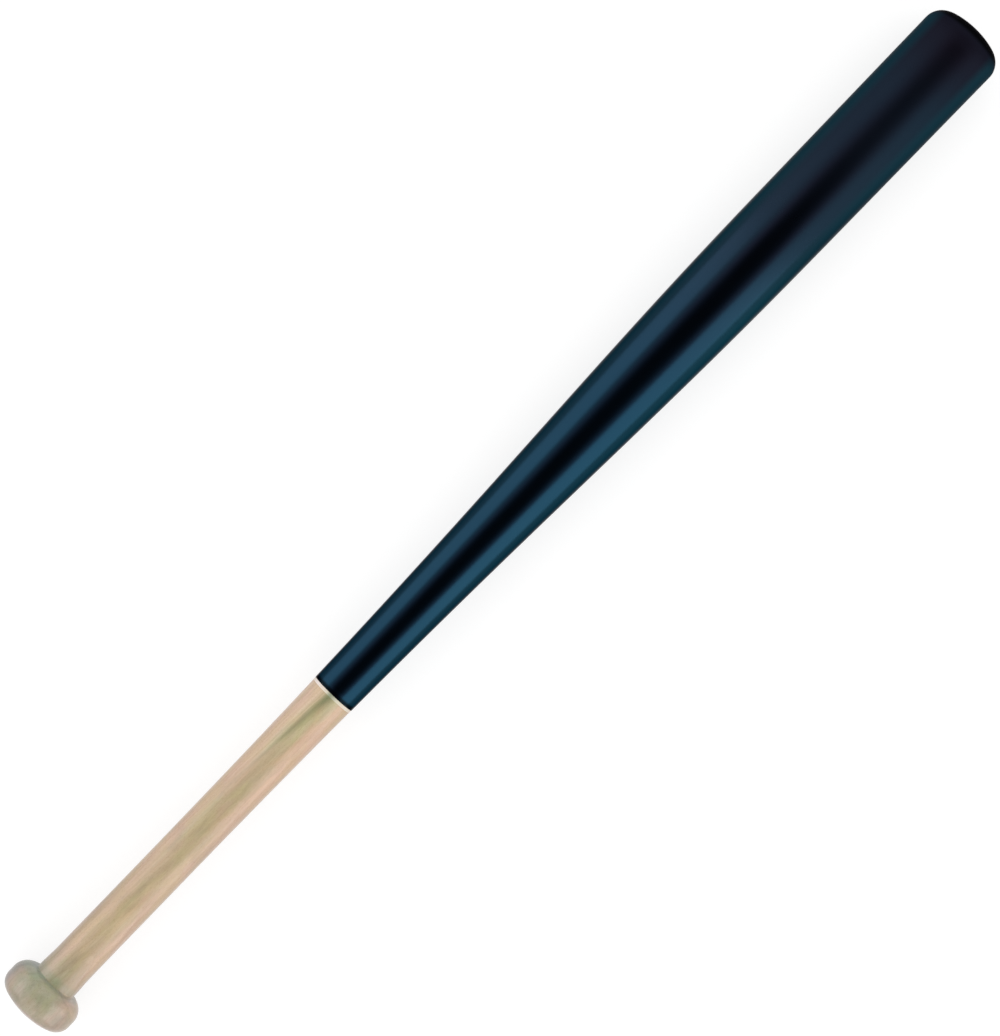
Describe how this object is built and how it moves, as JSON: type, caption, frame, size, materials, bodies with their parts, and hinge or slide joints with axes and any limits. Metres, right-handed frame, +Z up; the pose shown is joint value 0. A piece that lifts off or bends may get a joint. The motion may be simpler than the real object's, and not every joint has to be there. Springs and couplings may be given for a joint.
{
  "type": "baseball bat",
  "caption": "Solid turned wooden baseball bat: domed knob, slim handle under clear varnish, long taper and round-ended barrel under glossy black lacquer.",
  "frame": {"origin": "on the floor under the middle of the bat, which lies on its side", "axes": "+X along the bat's axis from the knob to the barrel's end, +Z up"},
  "size_m": [0.84, 0.0542, 0.0542],
  "materials": {
    "turned_wood": "fine-grained pale beech-like wood, turned and sanded",
    "clear_varnish": "clear satin varnish over the handle and the knob",
    "black_lacquer": "glossy blue-black lacquer"
  },
  "bodies": {
    "root": {"turned_wood_body": "turned_wood", "knob_varnish_coat": "clear_varnish", "handle_varnish_coat": "clear_varnish", "black_lacquer_coat": "black_lacquer"}
  },
  "joints": []
}
